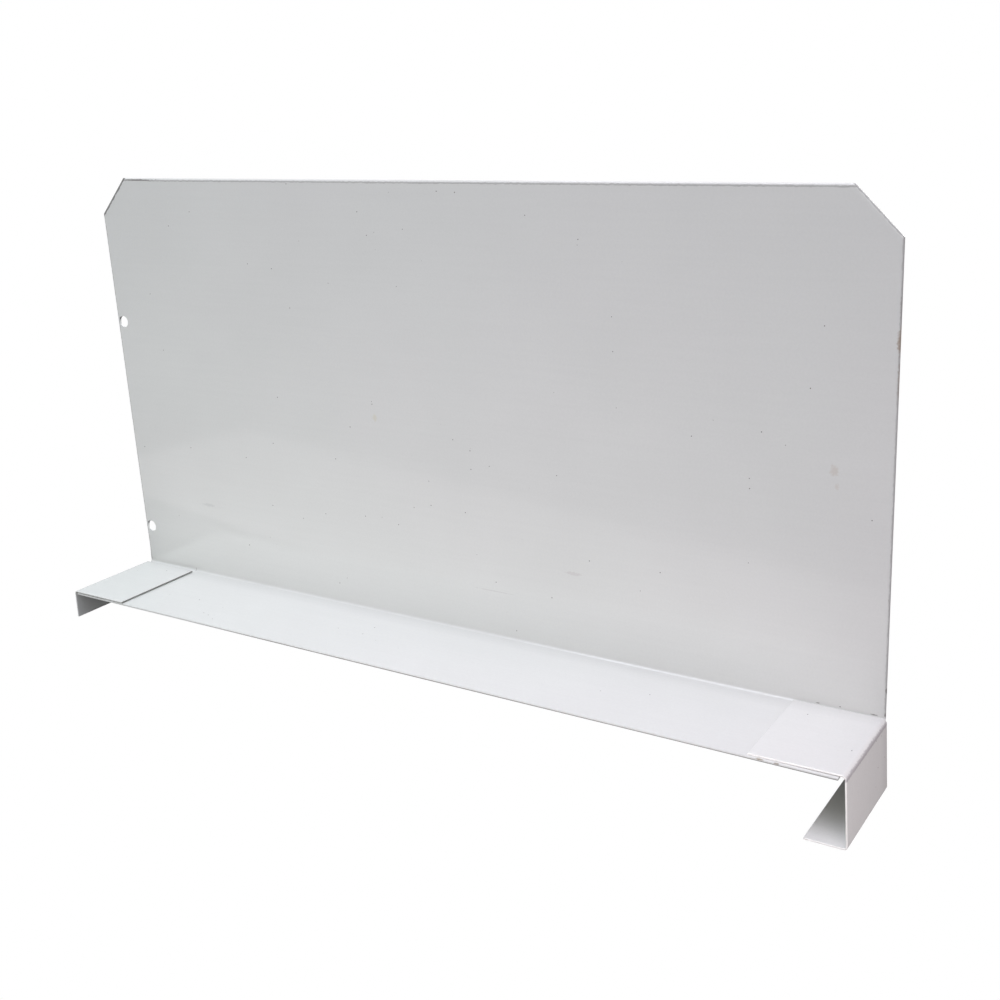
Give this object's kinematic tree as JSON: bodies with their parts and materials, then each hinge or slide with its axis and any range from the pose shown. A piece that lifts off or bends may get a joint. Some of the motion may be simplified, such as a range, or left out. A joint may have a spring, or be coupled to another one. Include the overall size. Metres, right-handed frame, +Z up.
{
  "type": "shelf divider",
  "caption": "Upright sheet-steel panel folded into a base flange, with a rear lip and a front hook that clip it across a shelf as a partition.",
  "frame": {"origin": "middle of the flange's underside, the face that rests on the shelf", "axes": "+X along the panel from the rear lip to the front hook, +Y from the flange's free edge to the panel, +Z up along the panel"},
  "size_m": [0.5029, 0.062, 0.2861],
  "materials": {
    "powder_coated_steel": "glossy off-white powder coat",
    "weld_steel": "bare steel weld nugget between the sheets"
  },
  "bodies": {
    "root": {"divider_panel": "powder_coated_steel", "front_hook_bracket": "powder_coated_steel", "rear_lip_bracket": "powder_coated_steel", "front_weld_inner": "weld_steel", "front_weld_outer": "weld_steel", "rear_weld_inner": "weld_steel", "rear_weld_outer": "weld_steel"}
  },
  "joints": []
}
